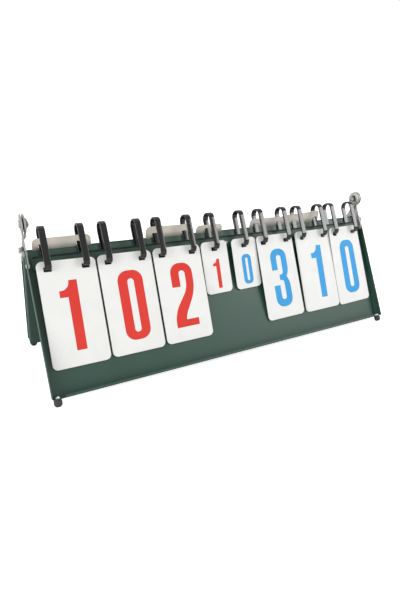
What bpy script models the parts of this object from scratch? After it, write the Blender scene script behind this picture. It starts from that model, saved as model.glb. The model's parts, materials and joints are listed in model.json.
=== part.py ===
"""Tabletop scoreboard: two hinged sheet-steel trays with flip cards on rings.

Lengths are in metres. +Z is up, +X runs to the right along the trays, and the
front tray faces -Y. The hinge axis of the two trays lies in the plane y = 0.

Each tray has its own frame: x along the tray, y up its face and z out of its
face. The places below called "up" and "out" are measured in that frame, from
the outside of the tray's lower bend and from the front of its face.
"""
from math import asin, atan2, cos, hypot, pi, radians, sin, sqrt

import bmesh
import bpy
from mathutils import Matrix, Vector

mm = 0.001

# Cards
card_width = 76.2 * mm
card_height = 140.0 * mm
small_card_width = 46.5 * mm
small_card_height = 80.5 * mm
card_corner = 7.0 * mm
card_thickness = 0.6 * mm
front_card_count = 4
flipped_card_count = 2
slot_width = 10.4 * mm
slot_height = 6.4 * mm
slot_corner = 1.0 * mm
slot_drop = 8.5 * mm
slot_spacing = 49.0 * mm
flipped_lean = radians(10.0)

# The row of cards, from the left: three large, two small, three large
row = ("large", "large", "large", "small", "small", "large", "large", "large")
left_margin = 9.5 * mm
right_margin = 14.5 * mm
row_gaps = [gap * mm for gap in (3.5, 3.5, 3.5, 8.1, 1.0, 5.9, 0.3)]
flipped_places = (0, 2, 3, 5, 6)

# Trays
sheet = 1.0 * mm
tray_height = 193.0 * mm
tray_depth = 11.6 * mm
bend_radius = 1.0 * mm
rim_corner = 5.0 * mm
lean = radians(26.0)
rim_gap = 1.0 * mm
top_gap = 5.0 * mm

# Rings and the rail that holds them
ring_width = 8.2 * mm
ring_thickness = 2.4 * mm
ring_rise = 28.0 * mm
ring_edge = 0.3 * mm
lid_clearance = 1.7 * mm
hook_radius = 6.6 * mm
hook_depth = 30.3 * mm
hook_turn = radians(120.0)
hook_tip = 1.5 * mm
ring_slack = 0.5 * mm
leg_bottom = 25.0 * mm
rail_top = 10.0 * mm
rail_width = 17.0 * mm
rail_end = 7.0 * mm
lug_drop = 18.0 * mm
lug_height = 2.4 * mm
lug_catch = 1.2 * mm
rail_rivet_drop = 20.0 * mm
rivet_radius = 1.5 * mm
rivet_head_radius = 2.9 * mm
rivet_head_height = 1.1 * mm

# End hinges, measured inward from the outside of the side flange
arm_thickness = 1.5 * mm
arm_width = 7.5 * mm
arm_inset = 0.4 * mm
arm_length = 58.0 * mm
disc_radius = 12.5 * mm
spacer_thickness = 1.8 * mm
joggle_start = 14.1 * mm
joggle_length = 6.5 * mm
pivot_radius = 3.0 * mm
pivot_head_radius = 5.2 * mm
pivot_head_height = 2.2 * mm
spacer_radius = 6.5 * mm
pivot_nut_radius = 5.5 * mm
pivot_nut_height = 4.0 * mm
arm_rivet_drop = 21.0 * mm
stud_drop = 5.5 * mm
stud_radius = 4.0 * mm
stud_height = 4.5 * mm
stud_shank_radius = 2.0 * mm

# Feet
foot_radius = 6.0 * mm
foot_height = 10.75 * mm
foot_inset = 6.5 * mm
foot_out = 5.8 * mm
foot_round = 4.5 * mm
foot_flat = 0.8 * mm
screw_radius = 1.9 * mm
screw_length = 7.0 * mm
screw_head_radius = 3.4 * mm
screw_head_height = 2.0 * mm

# How the heads of the rivets, studs, bolts and screws are rounded, as shares of a head's size
head_crown = 0.7
head_edge = 0.4
knob_crown = 0.75
chamfer_share = 0.35

# Gaps between pieces
seat_gap = 0.1 * mm
hole_gap = 0.25 * mm
rest_gap = 0.3 * mm

# Places worked out from the sizes above
widths = {"large": card_width, "small": small_card_width}
heights = {"large": card_height, "small": small_card_height}
tray_width = left_margin + sum(widths[size] for size in row) + sum(row_gaps) + right_margin
half_width = tray_width / 2

hinge_out = tray_depth + rim_gap / 2
hinge_rise = (top_gap / 2 + (hinge_out + sheet) * cos(lean)) / sin(lean)
hinge_up = tray_height + hinge_rise
lid_out = 2 * hinge_out

leg_out = seat_gap + ring_thickness / 2
front_leg_out = lid_out - lid_clearance - ring_thickness / 2
arc_radius = (front_leg_out - leg_out) / 2
arc_up = tray_height + ring_rise - arc_radius - ring_thickness / 2
hook_up = tray_height - hook_depth + hook_radius + ring_thickness / 2
hook_out = front_leg_out - hook_radius
hook_inner = hook_radius - ring_thickness / 2
lug_up = tray_height - lug_drop

front_stack = front_card_count * card_thickness
flipped_stack = flipped_card_count * card_thickness
stack_middle = -hook_inner * sin(lean)
stack_back = stack_middle - front_stack / 2
slot_top = rest_gap - sqrt(hook_inner ** 2 - stack_back ** 2)

arm_out = tray_depth - arm_inset - arm_width / 2
arm_low = sheet + seat_gap
disc_layers = {"front": arm_low, "back": arm_low + arm_thickness + spacer_thickness + 2 * seat_gap}

foot_top = -seat_gap
round_down = foot_height - foot_top - foot_round
round_out = foot_out - foot_radius + foot_round
floor_up = round_down * cos(lean) - round_out * sin(lean) + foot_round - foot_flat
hinge_height = floor_up + hinge_up * cos(lean) + hinge_out * sin(lean)
tray_back = hinge_up * sin(lean) - hinge_out * cos(lean)


def material(name, colour, roughness, metallic=0.0):
    made = bpy.data.materials.new(name)
    made.use_nodes = True
    shader = made.node_tree.nodes["Principled BSDF"]
    shader.inputs["Base Color"].default_value = (*colour, 1.0)
    shader.inputs["Roughness"].default_value = roughness
    shader.inputs["Metallic"].default_value = metallic
    return made


def add_object(name, piece, surface, parent, place=(0.0, 0.0, 0.0), turn=0.0, smooth=True):
    """Makes a named object from a bmesh, at a place and a turn about X in its parent's frame."""
    bmesh.ops.recalc_face_normals(piece, faces=piece.faces)
    mesh = bpy.data.meshes.new(name)
    piece.to_mesh(mesh)
    piece.free()
    if surface:
        mesh.materials.append(surface)
    if smooth:
        mesh.shade_smooth()
        mesh.set_sharp_from_angle(angle=radians(35))
    made = bpy.data.objects.new(name, mesh)
    bpy.context.scene.collection.objects.link(made)
    made.parent = parent
    made.location = place
    made.rotation_euler.x = turn
    return made


def add_empty(name, parent, place, turn=0.0, spin=0.0):
    made = bpy.data.objects.new(name, None)
    made.empty_display_size = 0.02
    bpy.context.scene.collection.objects.link(made)
    made.parent = parent
    made.location = place
    made.rotation_euler = (turn, 0.0, spin)
    return made


def join(target, piece):
    """Adds one bmesh to another as a separate closed body."""
    scratch = bpy.data.meshes.new("scratch")
    piece.to_mesh(scratch)
    piece.free()
    target.from_mesh(scratch)
    bpy.data.meshes.remove(scratch)


def arc(centre, radius, start, end, steps):
    points = []
    for step in range(steps + 1):
        angle = start + (end - start) * step / steps
        points.append((centre[0] + radius * cos(angle), centre[1] + radius * sin(angle)))
    return points


def circle(centre, radius, steps=24):
    return arc(centre, radius, 0.0, 2 * pi, steps)[:-1]


def rounded_box(low, high, radius, steps):
    """The outline of a rectangle with round corners, counter-clockwise."""
    points = arc((high[0] - radius, low[1] + radius), radius, -pi / 2, 0.0, steps)
    points += arc((high[0] - radius, high[1] - radius), radius, 0.0, pi / 2, steps)
    points += arc((low[0] + radius, high[1] - radius), radius, pi / 2, pi, steps)
    points += arc((low[0] + radius, low[1] + radius), radius, pi, 3 * pi / 2, steps)
    return points


def plate(outline, holes, low, high):
    """A flat plate between two heights, with holes right through it."""
    piece = bmesh.new()
    edges = []
    for loop in [outline] + holes:
        corners = [piece.verts.new((x, y, low)) for x, y in loop]
        for first, second in zip(corners, corners[1:] + corners[:1]):
            edges.append(piece.edges.new((first, second)))
    bmesh.ops.triangle_fill(piece, edges=edges, use_beauty=True)
    grown = bmesh.ops.extrude_face_region(piece, geom=piece.faces[:])
    lifted = [item for item in grown["geom"] if isinstance(item, bmesh.types.BMVert)]
    bmesh.ops.translate(piece, verts=lifted, vec=(0.0, 0.0, high - low))
    bmesh.ops.recalc_face_normals(piece, faces=piece.faces)
    return piece


def side_plate(outline, holes, low, high):
    """A plate whose outline is drawn in a tray's up and out directions, thick along x."""
    piece = plate(outline, holes, low, high)
    swap = Matrix(((0, 0, 1, 0), (1, 0, 0, 0), (0, 1, 0, 0), (0, 0, 0, 1)))
    bmesh.ops.transform(piece, matrix=swap, verts=piece.verts)
    return piece


def turned(profile, steps=24):
    """A turned piece about z from (radius, height) points, closed where they start off the axis."""
    piece = bmesh.new()
    corners = [piece.verts.new((radius, 0.0, height)) for radius, height in profile]
    pairs = list(zip(corners, corners[1:]))
    if profile[0][0] > 0:
        pairs.append((corners[-1], corners[0]))
    edges = [piece.edges.new(pair) for pair in pairs]
    bmesh.ops.spin(piece, geom=corners + edges, cent=(0, 0, 0), axis=(0, 0, 1), angle=2 * pi, steps=steps)
    bmesh.ops.remove_doubles(piece, verts=piece.verts, dist=0.001 * mm)
    bmesh.ops.recalc_face_normals(piece, faces=piece.faces)
    return piece


def moved(piece, matrix):
    bmesh.ops.transform(piece, matrix=matrix, verts=piece.verts)
    return piece


def along_x(side, up, out):
    """Takes a turned piece's z to the inward direction at one end of a tray (side -1 or 1)."""
    turn = Matrix.Rotation(-side * pi / 2, 4, "Y")
    return Matrix.Translation((side * half_width, up, out)) @ turn


def rod(matrix, radius, low, high):
    return moved(turned([(0.0, low), (radius, low), (radius, high), (0.0, high)], 16), matrix)


def add_cutter(name, parent, shapes):
    """One hidden object that holds the shapes of all holes of one kind, for a Boolean to take away."""
    joined = bmesh.new()
    for shape in shapes:
        join(joined, shape)
    made = add_object(name, joined, None, parent, smooth=False)
    made.hide_render = True
    made.display_type = "WIRE"
    return made


def cut(target, cutter):
    change = target.modifiers.new(cutter.name, "BOOLEAN")
    change.operation = "DIFFERENCE"
    change.object = cutter


def row_places():
    """The middle of each card place along x, from the row's widths and gaps."""
    places = []
    edge = -half_width + left_margin
    for size, gap in zip(row, row_gaps + [0.0]):
        places.append(edge + widths[size] / 2)
        edge += widths[size] + gap
    return places


def slot_offsets(size):
    """Where a card's slots lie from its middle: two on a large card and one on a small card."""
    return (-slot_spacing / 2, slot_spacing / 2) if size == "large" else (0.0,)


def ring_places():
    places = []
    for middle, size in zip(row_places(), row):
        places += [middle + offset + ring_slack for offset in slot_offsets(size)]
    return places


def add_tray(name, parent, surface, cutters):
    """A pan with a face, two side flanges and a bottom flange, all bent from one sheet."""
    piece = bmesh.new()
    side = half_width - sheet
    corners = [piece.verts.new(place) for place in
               ((-side, tray_height, 0), (-side, sheet, 0), (side, sheet, 0), (side, tray_height, 0))]
    piece.faces.new(corners)
    bends = [piece.edges.get(pair) for pair in zip(corners, corners[1:])]
    grown = bmesh.ops.extrude_edge_only(piece, edges=bends)
    rim = [item for item in grown["geom"] if isinstance(item, bmesh.types.BMVert)]
    bmesh.ops.translate(piece, verts=rim, vec=(0.0, 0.0, tray_depth))
    piece.edges.ensure_lookup_table()
    upright = [edge for edge in piece.edges
               if edge.is_manifold and abs(edge.verts[0].co.z - edge.verts[1].co.z) > tray_depth / 2]
    bmesh.ops.bevel(piece, geom=bends + upright, offset=bend_radius, segments=3, profile=0.5,
                    affect="EDGES")
    tips = [vert for vert in piece.verts
            if vert.co.z > tray_depth - seat_gap and vert.co.y > tray_height - seat_gap]
    bmesh.ops.bevel(piece, geom=tips, offset=rim_corner, segments=3, profile=0.5, affect="VERTICES")
    bmesh.ops.recalc_face_normals(piece, faces=piece.faces)
    face = max(piece.faces, key=lambda item: item.calc_area())
    if face.normal.z < 0:
        bmesh.ops.reverse_faces(piece, faces=piece.faces)
    mesh = bpy.data.meshes.new(name)
    piece.to_mesh(mesh)
    piece.free()
    mesh.materials.append(surface)
    made = bpy.data.objects.new(name, mesh)
    bpy.context.scene.collection.objects.link(made)
    made.parent = parent
    thicken = made.modifiers.new("sheet", "SOLIDIFY")
    thicken.thickness = sheet
    thicken.offset = -1.0
    thicken.use_even_offset = True
    for cutter in cutters:
        cut(made, cutter)
    return made


def ring_outline():
    """The ring's side view: up the rear leg, over the arc, down the front leg and round the hook."""
    half = ring_thickness / 2
    middle_out = leg_out + arc_radius
    hook_end = -hook_turn
    tip_direction = Vector((cos(hook_end - pi / 2), sin(hook_end - pi / 2))) * hook_tip

    def side(shift):
        over = arc((middle_out, arc_up), arc_radius + shift, pi, 0.0, 16)
        round_hook = arc((hook_out, hook_up), hook_radius + shift, 0.0, hook_end, 8)
        last = Vector(round_hook[-1]) + tip_direction
        return over + round_hook + [tuple(last)]

    outer = side(half)
    inner = side(-half)
    bottom = tray_height - leg_bottom
    back = leg_out - half
    caught = -sheet - seat_gap
    low = lug_up - lug_height / 2
    high = lug_up + lug_height / 2
    lug = [(back, bottom), (back, low), (caught, low), (caught, low - lug_catch), (caught - lug_catch, low),
           (caught - lug_catch, high), (back, high)]
    return [(up, out) for out, up in lug + outer + inner[::-1] + [(leg_out + half, bottom)]]


def ring_windows():
    """The windows in the front tray's face that the rings' lugs pass through."""
    low = lug_up - lug_height / 2 - hole_gap
    high = lug_up + lug_height / 2 + hole_gap
    across = ring_width / 2 + hole_gap
    windows = []
    for place in ring_places():
        outline = [(place - across, low), (place + across, low), (place + across, high), (place - across, high)]
        windows.append(plate(outline, [], -2 * sheet, sheet))
    return windows


def add_rings(parent, surface):
    outline = ring_outline()
    for number, place in enumerate(ring_places(), 1):
        piece = side_plate(outline, [], -ring_width / 2, ring_width / 2)
        ring = add_object(f"ring_{number}", piece, surface, parent, (place, 0.0, 0.0))
        soften = ring.modifiers.new("edge", "BEVEL")
        soften.width = ring_edge
        soften.segments = 1
        soften.limit_method = "ANGLE"
        soften.angle_limit = radians(60)


def add_rail(parent, surface, cutter):
    """An L section that stands off the face by a ring's thickness and closes the pocket below."""
    low = seat_gap
    inner = ring_thickness + 2 * seat_gap
    outer = inner + sheet
    top = tray_height - rail_top
    bottom = top - rail_width
    outline = [(bottom, low), (bottom, outer), (top, outer), (top, inner), (bottom + sheet, inner),
               (bottom + sheet, low)]
    end = half_width - rail_end
    rail = add_object("ring_rail", side_plate(outline, [], -end, end), surface, parent)
    cut(rail, cutter)


def rivet_profile(shank, low, high, head_radius, head_height):
    """A rivet from its lower head to its upper head, with the shank between the two heights."""
    crown = head_radius * head_crown
    edge = head_height * head_edge
    return [(0.0, low - head_height), (crown, low - head_height), (head_radius, low - edge),
            (head_radius, low), (shank, low), (shank, high), (head_radius, high),
            (head_radius, high + edge), (crown, high + head_height), (0.0, high + head_height)]


def rail_rivet_spots():
    """One rivet near each end of the rail and one in the middle, each clear of the rings."""
    places = ring_places()
    gaps = [(places[0] + places[1]) / 2, (places[6] + places[7]) / 2, (places[-2] + places[-1]) / 2]
    return [Matrix.Translation((place, tray_height - rail_rivet_drop, 0.0)) for place in gaps]


def rail_holes():
    return [rod(spot, rivet_radius + hole_gap, -3 * sheet, 9 * sheet) for spot in rail_rivet_spots()]


def add_rail_rivets(parent, surface):
    back = -sheet - seat_gap
    front = ring_thickness + sheet + 3 * seat_gap
    for spot, name in zip(rail_rivet_spots(), ("left", "middle", "right")):
        rivet = turned(rivet_profile(rivet_radius, back, front, rivet_head_radius, rivet_head_height), 16)
        add_object(f"rail_rivet_{name}", moved(rivet, spot), surface, parent)


def add_stack(name, size, thickness, top, low, surface, parent, place, turn):
    """A stack of cards as one slab with its slots, from the height of its top edge and of its back."""
    width = widths[size]
    edge = top - slot_drop
    outline = rounded_box((-width / 2, top - heights[size]), (width / 2, top), card_corner, 6)
    slots = []
    for offset in slot_offsets(size):
        slots.append(rounded_box((offset - slot_width / 2, edge - slot_height),
                                 (offset + slot_width / 2, edge), slot_corner, 2))
    add_object(name, plate(outline, slots, low, low + thickness), surface, parent, place, turn)


def front_turn(size):
    """How far a stack leans off the face: it hangs on the hook and its foot rests on the face."""
    down = heights[size] - slot_drop - slot_top
    back = -stack_back
    return asin((hook_out - rest_gap) / hypot(down, back)) - atan2(back, down)


def add_front_stacks(parent, surface):
    for number, (place, size) in enumerate(zip(row_places(), row), 1):
        add_stack(f"card_stack_{number}", size, front_stack, slot_top + slot_drop, stack_back,
                  surface, parent, (place, hook_up, hook_out), front_turn(size))


def add_flipped_stacks(parent, surface):
    """Turned-over cards hang on the rings' rear legs and lean on the front tray's top edge."""
    turn = lean + flipped_lean
    reach = cos(turn) * (leg_out + sheet) + rest_gap + flipped_stack / 2
    up = tray_height + reach / sin(turn)
    for number, index in enumerate(flipped_places, 1):
        place = row_places()[index]
        add_stack(f"flipped_stack_{number}", row[index], flipped_stack, slot_height / 2 + slot_drop,
                  -flipped_stack / 2, surface, parent, (place, up, leg_out), turn)


def arm_outline():
    """A disc round the pivot with a straight shank along the tray's rim, round at its end."""
    near = asin((hinge_out - arm_out - arm_width / 2) / disc_radius)
    far = asin((hinge_out - arm_out + arm_width / 2) / disc_radius)
    disc = arc((0.0, 0.0), disc_radius, pi - near, 3 * pi - far, 32)
    outline = [(hinge_up + up, hinge_out - out) for up, out in disc]
    foot_up = hinge_up - arm_length + arm_width / 2
    return outline + arc((foot_up, arm_out), arm_width / 2, -pi / 2, -3 * pi / 2, 8)


def end_rivets_up():
    return {"rivet": tray_height - arm_rivet_drop, "stud": tray_height - stud_drop}


def add_arms(parent, tray, surface):
    """Two hinge arms riveted inside the side flanges; the back tray's pair steps in beside the front's."""
    levels = end_rivets_up()
    holes = [circle((hinge_up, hinge_out), pivot_radius + hole_gap),
             circle((levels["rivet"], arm_out), rivet_radius + hole_gap, 16),
             circle((levels["stud"], arm_out), stud_shank_radius + hole_gap, 16)]
    step_in = disc_layers[tray] - arm_low
    top = hinge_up - joggle_start
    for side, name in ((-1, "left"), (1, "right")):
        piece = side_plate(arm_outline(), holes, 0.0, arm_thickness)
        if step_in > 0:
            for level in (top, top - joggle_length):
                bmesh.ops.bisect_plane(piece, geom=piece.verts[:] + piece.edges[:] + piece.faces[:],
                                       plane_co=(0.0, level, 0.0), plane_no=(0.0, 1.0, 0.0))
            for vert in piece.verts:
                share = min(max((vert.co.y - top) / joggle_length + 1.0, 0.0), 1.0)
                vert.co.x += step_in * share
        for vert in piece.verts:
            vert.co.x = side * (half_width - arm_low - vert.co.x)
        add_object(f"{tray}_arm_{name}", piece, surface, parent)


def end_holes():
    """The holes in both side flanges for the arms' rivets and studs."""
    levels = end_rivets_up()
    holes = []
    for side in (-1, 1):
        for kind, radius in (("rivet", rivet_radius), ("stud", stud_shank_radius)):
            holes.append(rod(along_x(side, levels[kind], arm_out), radius + hole_gap, -sheet, 2 * sheet))
    return holes


def add_end_fasteners(parent, tray, surface):
    levels = end_rivets_up()
    inner = arm_low + arm_thickness + seat_gap
    head_top = inner + rivet_head_height
    stud = [(0.0, -stud_height), (stud_radius * knob_crown, -stud_height), (stud_radius, -stud_height * knob_crown),
            (stud_radius, -seat_gap), (stud_shank_radius, -seat_gap), (stud_shank_radius, inner),
            (rivet_head_radius, inner), (rivet_head_radius * knob_crown, head_top), (0.0, head_top)]
    rivet = rivet_profile(rivet_radius, -seat_gap, inner, rivet_head_radius, rivet_head_height)
    for side, name in ((-1, "left"), (1, "right")):
        for kind, profile in (("rivet", rivet), ("stud", stud)):
            piece = moved(turned(profile, 16), along_x(side, levels[kind], arm_out))
            add_object(f"{tray}_{kind}_{name}", piece, surface, parent)


def add_pivots(parent, surface, dark):
    """At each end a bolt holds both arms' discs, with a spacer between them and a nut inside."""
    spacer_low = disc_layers["front"] + arm_thickness + seat_gap
    spacer_high = disc_layers["back"] - seat_gap
    nut_low = disc_layers["back"] + arm_thickness + seat_gap
    nut_high = nut_low + pivot_nut_height
    head_high = disc_layers["front"] - seat_gap
    head_low = head_high - pivot_head_height
    chamfer = pivot_head_height * chamfer_share
    hole = pivot_radius + hole_gap
    bolt = [(0.0, head_low), (pivot_head_radius - chamfer, head_low), (pivot_head_radius, head_low + chamfer),
            (pivot_head_radius, head_high), (pivot_radius, head_high), (pivot_radius, nut_high + chamfer),
            (0.0, nut_high + chamfer)]
    nut = [(hole, nut_low), (pivot_nut_radius, nut_low), (pivot_nut_radius, nut_high - chamfer),
           (pivot_nut_radius - chamfer, nut_high), (hole, nut_high)]
    spacer = [(hole, spacer_low), (spacer_radius, spacer_low), (spacer_radius, spacer_high), (hole, spacer_high)]
    for side, name in ((-1, "left"), (1, "right")):
        spot = along_x(side, hinge_up, hinge_out)
        add_object(f"pivot_bolt_{name}", moved(turned(bolt), spot), surface, parent)
        add_object(f"pivot_nut_{name}", moved(turned(nut), spot), surface, parent)
        add_object(f"pivot_spacer_{name}", moved(turned(spacer), spot), dark, parent)


def foot_spots():
    """Each foot's middle in a tray's frame, with z up the tray."""
    spots = []
    for side in (-1, 1):
        turn = Matrix.Rotation(-pi / 2, 4, "X")
        spots.append(Matrix.Translation((side * (half_width - foot_inset), 0.0, foot_out)) @ turn)
    return spots


def add_feet(parent, tray, rubber, steel):
    """Rubber feet under the bottom flange, cut flat where they stand, each with its screw."""
    hole = screw_radius + hole_gap
    depth = foot_top - screw_length
    bottom = foot_top - foot_height
    rounding = arc((foot_radius - foot_round, bottom + foot_round), foot_round, 0.0, -pi / 2, 6)
    profile = [(0.0, depth), (hole, depth), (hole, foot_top), (foot_radius, foot_top)] + rounding
    profile += [(0.0, bottom)]
    screw = [(0.0, depth + rest_gap), (screw_radius, depth + rest_gap), (screw_radius, sheet + seat_gap),
             (screw_head_radius, sheet + seat_gap), (screw_head_radius, sheet + screw_head_height * head_crown),
             (screw_head_radius * head_crown, sheet + screw_head_height), (0.0, sheet + screw_head_height)]
    down = Vector((0.0, -cos(lean), -sin(lean)))
    for spot, name in zip(foot_spots(), ("left", "right")):
        foot = moved(turned(profile, 20), spot)
        trimmed = bmesh.ops.bisect_plane(foot, geom=foot.verts[:] + foot.edges[:] + foot.faces[:],
                                         plane_co=down * floor_up, plane_no=down, clear_outer=True)
        border = [item for item in trimmed["geom_cut"] if isinstance(item, bmesh.types.BMEdge)]
        bmesh.ops.edgeloop_fill(foot, edges=border)
        add_object(f"{tray}_foot_{name}", foot, rubber, parent)
        add_object(f"{tray}_foot_screw_{name}", moved(turned(screw, 16), spot), steel, parent)


def foot_holes():
    return [rod(spot, screw_radius + hole_gap, -2 * sheet, 2 * sheet) for spot in foot_spots()]


def build():
    for item in list(bpy.data.objects):
        bpy.data.objects.remove(item, do_unlink=True)
    green = material("green_paint", (0.030, 0.062, 0.052), 0.42)
    rail_green = material("rail_paint", (0.030, 0.062, 0.052), 0.42)
    black = material("black_plastic", (0.022, 0.022, 0.024), 0.35)
    white = material("white_card", (0.86, 0.86, 0.85), 0.5)
    beige = material("beige_card", (0.58, 0.53, 0.45), 0.55)
    nickel = material("nickel_steel", (0.62, 0.62, 0.60), 0.3, 1.0)
    fibre = material("dark_fibre", (0.05, 0.05, 0.05), 0.7)
    rubber = material("black_rubber", (0.03, 0.03, 0.03), 0.8)

    upright = pi / 2 - lean
    front = add_empty("front_frame", None, (0.0, -tray_back, floor_up), upright)
    fold = add_empty("fold_axis", None, (0.0, 0.0, hinge_height))
    back = add_empty("back_frame", fold, (0.0, tray_back, floor_up - hinge_height), upright, pi)

    rail_cutter = add_cutter("rail_holes", front, rail_holes())
    window_cutter = add_cutter("ring_windows", front, ring_windows())
    frames = {"front": front, "back": back}
    for tray, parent in frames.items():
        cutters = [add_cutter(f"{tray}_end_holes", parent, end_holes()),
                   add_cutter(f"{tray}_foot_holes", parent, foot_holes())]
        if tray == "front":
            cutters += [rail_cutter, window_cutter]
        add_tray(f"{tray}_tray", parent, green, cutters)
        add_arms(parent, tray, nickel)
        add_end_fasteners(parent, tray, nickel)
        add_feet(parent, tray, rubber, nickel)
    add_rail(front, rail_green, rail_cutter)
    add_rail_rivets(front, nickel)
    add_rings(front, black)
    add_pivots(front, nickel, fibre)
    add_front_stacks(front, white)
    add_flipped_stacks(front, beige)
    bpy.context.view_layer.update()


build()
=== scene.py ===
# %% [markdown]
# A tabletop scoreboard, dressed for its portrait.
# Two green steel trays lean together like a tent. Black rings carry white cards with big red
# and blue numerals. The trays, the rail, the hinge arms, the bolts and the rivets come from
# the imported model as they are. This script adds the separate cards, the numerals, the moulded
# rings, the small hardware details and every finish.

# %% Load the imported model
import json
from math import cos, pi, radians, sin

import bmesh
import bpy
from mathutils import Matrix, Vector


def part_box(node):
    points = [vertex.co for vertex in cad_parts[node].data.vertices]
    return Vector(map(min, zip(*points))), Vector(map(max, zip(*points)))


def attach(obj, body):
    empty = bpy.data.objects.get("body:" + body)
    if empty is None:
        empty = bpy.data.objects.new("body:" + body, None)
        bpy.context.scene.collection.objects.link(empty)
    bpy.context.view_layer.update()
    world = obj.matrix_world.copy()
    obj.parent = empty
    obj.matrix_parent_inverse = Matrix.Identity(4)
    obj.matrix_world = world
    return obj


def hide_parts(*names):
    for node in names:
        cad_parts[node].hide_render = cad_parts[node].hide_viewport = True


mm = 0.001
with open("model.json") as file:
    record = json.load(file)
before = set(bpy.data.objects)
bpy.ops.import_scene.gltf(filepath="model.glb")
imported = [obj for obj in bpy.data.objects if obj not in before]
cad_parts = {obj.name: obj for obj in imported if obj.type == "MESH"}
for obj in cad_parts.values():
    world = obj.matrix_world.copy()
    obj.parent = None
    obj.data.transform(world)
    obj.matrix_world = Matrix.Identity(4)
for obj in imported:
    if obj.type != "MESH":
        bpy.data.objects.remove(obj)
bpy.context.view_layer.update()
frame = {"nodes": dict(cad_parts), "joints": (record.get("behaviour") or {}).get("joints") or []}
nodes = frame["nodes"]

# %% [markdown]
# The camera stands in front of the left end, a little above the board. Its place was worked
# out from the straight edges of the trays and cards, so here it is simply a position, three
# turns and a lens. The Standard view shows each colour as it is written.

# %% Camera
camera_place = (-357.415 * mm, -572.503 * mm, 319.559 * mm)
camera_turns = (radians(68.985), radians(-0.72), radians(-28.89))
film_width = 36.0
lens_length = 37.921

scene = bpy.context.scene
camera_data = bpy.data.cameras.new("camera")
camera_data.sensor_fit = "HORIZONTAL"
camera_data.sensor_width = film_width
camera_data.lens = lens_length
camera = bpy.data.objects.new("camera", camera_data)
camera.location = camera_place
camera.rotation_euler = camera_turns
scene.collection.objects.link(camera)
scene.camera = camera
scene.view_settings.view_transform = "Standard"
print("camera height in mm:", round(camera_place[2] / mm))

# %% [markdown]
# Every material and the world are small networks of nodes. In the editor a node is added, its
# values are typed in, and wires are drawn to it. One helper does the same three things here: a
# number or a colour is typed into an input, and another node's output is wired to it.


# %% Node helper
def add_node(tree, kind, inputs=None, **settings):
    """Adds a node. An input is given a value to hold, or another node's output to be wired to."""
    node = tree.nodes.new("ShaderNode" + kind)
    for name, setting in settings.items():
        setattr(node, name, setting)
    for label, value in (inputs or {}).items():
        if isinstance(value, bpy.types.NodeSocket):
            tree.links.new(value, node.inputs[label])
        else:
            node.inputs[label].default_value = value
    return node


# %% [markdown]
# The board stands in a white studio. The camera sees pure white. A mirror-like surface sees a
# white wall behind the board and a dimmer room on the camera's side, which keeps the fronts of
# the black rings dark and their tops pale. As plain light the room is even and rather strong,
# so the rings throw hardly any shadow on the cards. Light Path tells these cases apart.

# %% World
white = (1.0, 1.0, 1.0, 1.0)
even_light = 0.59
dim_side = 0.58
dim_until = -0.3
bright_from = 0.4

world = bpy.data.worlds.new("studio")
scene.world = world
world.use_nodes = True
sky = world.node_tree
light_path = add_node(sky, "LightPath")
direction = add_node(sky, "TexCoord")
parts = add_node(sky, "SeparateXYZ", {"Vector": direction.outputs["Generated"]})
mirrored = add_node(sky, "MapRange", {"Value": parts.outputs["Y"], "From Min": dim_until,
                                      "From Max": bright_from, "To Min": dim_side, "To Max": 1.0})


def choose(question, yes, no):
    """A value that is yes where the light path question holds, and no elsewhere."""
    pick = add_node(sky, "Mix", {"Factor": light_path.outputs[question], "A": no, "B": yes})
    return pick.outputs["Result"]


strength = choose("Is Glossy Ray", mirrored.outputs["Result"], even_light)
strength = choose("Is Transmission Ray", 1.0, strength)
strength = choose("Is Camera Ray", 1.0, strength)
background = sky.nodes["Background"]
background.inputs["Color"].default_value = white
sky.links.new(strength, background.inputs["Strength"])
print("even light of the room:", even_light)

# %% [markdown]
# Two soft boxes do the rest. The right one stands where the fronts of the right-hand rings
# mirror it, so those rings turn pale while the left-hand ones stay charcoal. The left one
# lights the inner side of the right flange. An area lamp shines along its own -Z axis, and
# to_track_quat turns that axis towards the board.

# %% Lamps
lamp_target = Vector((0.0, 0.0, 0.12))
lamps = {"right_lamp": ((1.42, -1.03, 1.06), (1.04, 0.68), 16.0),
         "left_lamp": ((-1.90, -0.45, 0.80), (1.1, 1.1), 23.0)}
for name, (place, size, power) in lamps.items():
    lamp = bpy.data.lights.new(name, "AREA")
    lamp.shape = "RECTANGLE"
    lamp.size, lamp.size_y = size
    lamp.energy = power
    stand = bpy.data.objects.new(name, lamp)
    stand.location = place
    stand.rotation_euler = (lamp_target - Vector(place)).to_track_quat("-Z", "Y").to_euler()
    scene.collection.objects.link(stand)
    print(name, "power in watts:", power)

# %% [markdown]
# The floor is a sheet of white paper. Its own colour takes the soft shadow of the board, and
# a glow that only the camera sees lifts the rest of it to white. More light would lift it too,
# but that light would also bleach the cards.

# %% Floor
floor_reach = 6.0
paper_white = (0.92, 0.92, 0.92, 1.0)
paper_roughness = 0.9
paper_glow = 0.80

floor_shape = bmesh.new()
bmesh.ops.create_grid(floor_shape, x_segments=1, y_segments=1, size=floor_reach)
floor_mesh = bpy.data.meshes.new("floor")
floor_shape.to_mesh(floor_mesh)
floor_shape.free()
floor = bpy.data.objects.new("floor", floor_mesh)
scene.collection.objects.link(floor)

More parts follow.
